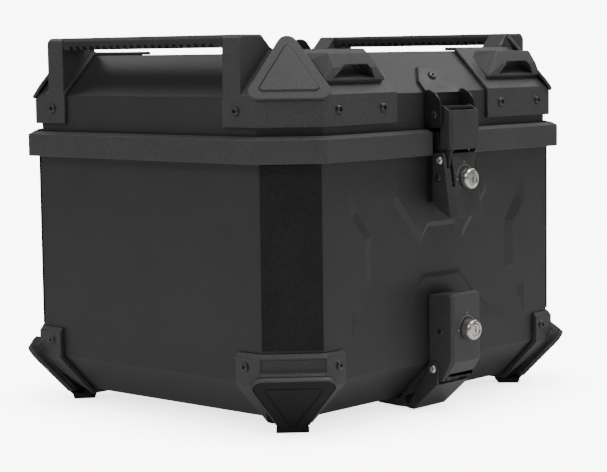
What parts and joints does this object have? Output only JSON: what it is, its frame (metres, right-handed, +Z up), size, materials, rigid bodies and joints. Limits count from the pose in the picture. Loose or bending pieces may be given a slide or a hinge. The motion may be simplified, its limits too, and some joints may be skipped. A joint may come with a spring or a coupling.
{
  "type": "motorcycle top case",
  "caption": "Hard motorcycle top case with a hinged lid, corner guards, fixed side handles, a keyed draw latch and a keyed carrier release lever.",
  "frame": {"origin": "centre of the base plate's underside, level with the bottoms of the four feet, in the middle of the tub's plan outline", "axes": "-Y is the lock face, +Y the hinge side, +X is to the right when looking at the lock face, +Z is up"},
  "size_m": [0.449, 0.4345, 0.358],
  "materials": {
    "shell_plastic": "fine-grained moulded plastic",
    "guard_plastic": "satin moulded plastic",
    "dark_plastic": "coarse-grained moulded plastic",
    "rubber": "matte rubber",
    "liner_fabric": "needle felt",
    "black_metal": "satin black powder coat",
    "dark_screws": "black zinc",
    "bare_steel": "brushed",
    "chrome": "polished"
  },
  "bodies": {
    "tub": {"tub_shell": "shell_plastic", "rim_frame": "guard_plastic", "rim_gasket": "rubber", "corner_panel_front_left": "dark_plastic", "corner_panel_front_right": "dark_plastic", "corner_panel_rear_left": "dark_plastic", "corner_panel_rear_right": "dark_plastic", "floor_mat": "liner_fabric", "base_guard_front_left": "guard_plastic", "base_guard_front_right": "guard_plastic", "base_guard_rear_left": "guard_plastic", "base_guard_rear_right": "guard_plastic", "foot_front_left": "rubber", "foot_front_right": "rubber", "foot_rear_left": "rubber", "foot_rear_right": "rubber", "base_plate": "dark_plastic", "base_guard_screws_left": "dark_screws", "base_guard_screws_right": "dark_screws", "hinge_tub_leaf_left": "black_metal", "hinge_tub_leaf_right": "black_metal", "hinge_pin_left": "bare_steel", "hinge_pin_right": "bare_steel", "stay_pin_tub_left": "bare_steel", "stay_pin_tub_right": "bare_steel", "latch_base_bracket": "black_metal", "latch_pivot_bolt": "chrome", "base_lock_housing": "guard_plastic", "base_lock_barrel": "chrome", "release_pivot_bolt": "chrome"},
    "lid": {"lid_shell": "shell_plastic", "lid_liner": "liner_fabric", "lid_guard_front_left": "guard_plastic", "lid_guard_front_right": "guard_plastic", "lid_guard_rear_left": "guard_plastic", "lid_guard_rear_right": "guard_plastic", "lid_bumper_front_left": "guard_plastic", "lid_bumper_front_right": "guard_plastic", "lid_bumper_rear_left": "guard_plastic", "lid_bumper_rear_right": "guard_plastic", "handle_bar_left": "dark_plastic", "handle_bar_right": "dark_plastic", "lid_guard_screws_left": "dark_screws", "lid_guard_screws_right": "dark_screws", "hinge_lid_leaf_left": "black_metal", "hinge_lid_leaf_right": "black_metal", "stay_pin_lid_left": "bare_steel", "stay_pin_lid_right": "bare_steel", "striker_bracket": "black_metal", "striker_pin": "dark_screws", "striker_screw": "dark_screws"},
    "lever": {"latch_lever": "black_metal", "latch_lock_barrel": "chrome"},
    "hook": {"latch_hook": "black_metal"},
    "latch_plug": {"latch_lock_plug": "chrome"},
    "base_plug": {"base_lock_plug": "chrome"},
    "release": {"release_lever": "black_metal"},
    "stay_left": {"lid_stay_left": "bare_steel"},
    "stay_right": {"lid_stay_right": "bare_steel"}
  },
  "joints": [
    {"name": "lid_hinge", "type": "hinge", "parent": "tub", "child": "lid", "pos_m": [0, 0.204, 0.262], "axis": [-1, 0, 0], "range_deg": [0, 95]},
    {"name": "latch_lever_pivot", "type": "hinge", "parent": "tub", "child": "lever", "pos_m": [0, -0.202, 0.2397], "axis": [-1, 0, 0], "range_deg": [0, 95]},
    {"name": "latch_hook_pivot", "type": "hinge", "parent": "lever", "child": "hook", "pos_m": [0, -0.2005, 0.2237], "axis": [1, 0, 0], "range_deg": [0, 80]},
    {"name": "latch_key_turn", "type": "hinge", "parent": "lever", "child": "latch_plug", "pos_m": [0, -0.214, 0.2223], "axis": [0, -1, 0], "range_deg": [-90, 0]},
    {"name": "base_key_turn", "type": "hinge", "parent": "tub", "child": "base_plug", "pos_m": [0, -0.215, 0.0803], "axis": [0, -1, 0], "range_deg": [-90, 0]},
    {"name": "release_pivot", "type": "hinge", "parent": "tub", "child": "release", "pos_m": [0, -0.193, 0.043], "axis": [1, 0, 0], "range_deg": [0, 15]},
    {"name": "stay_pivot_left", "type": "hinge", "parent": "lid", "child": "stay_left", "pos_m": [-0.1995, 0.09507, 0.27731], "axis": [1, 0, 0], "range_deg": [0, 48]},
    {"name": "stay_pivot_right", "type": "hinge", "parent": "lid", "child": "stay_right", "pos_m": [0.1995, 0.09507, 0.27731], "axis": [1, 0, 0], "range_deg": [0, 48]}
  ],
  "couplings": [
    {"joint": "latch_hook_pivot", "follows": "latch_lever_pivot", "ratio": 0.84},
    {"joint": "stay_pivot_left", "follows": "lid_hinge", "ratio": 0.5},
    {"joint": "stay_pivot_right", "follows": "lid_hinge", "ratio": 0.5}
  ]
}
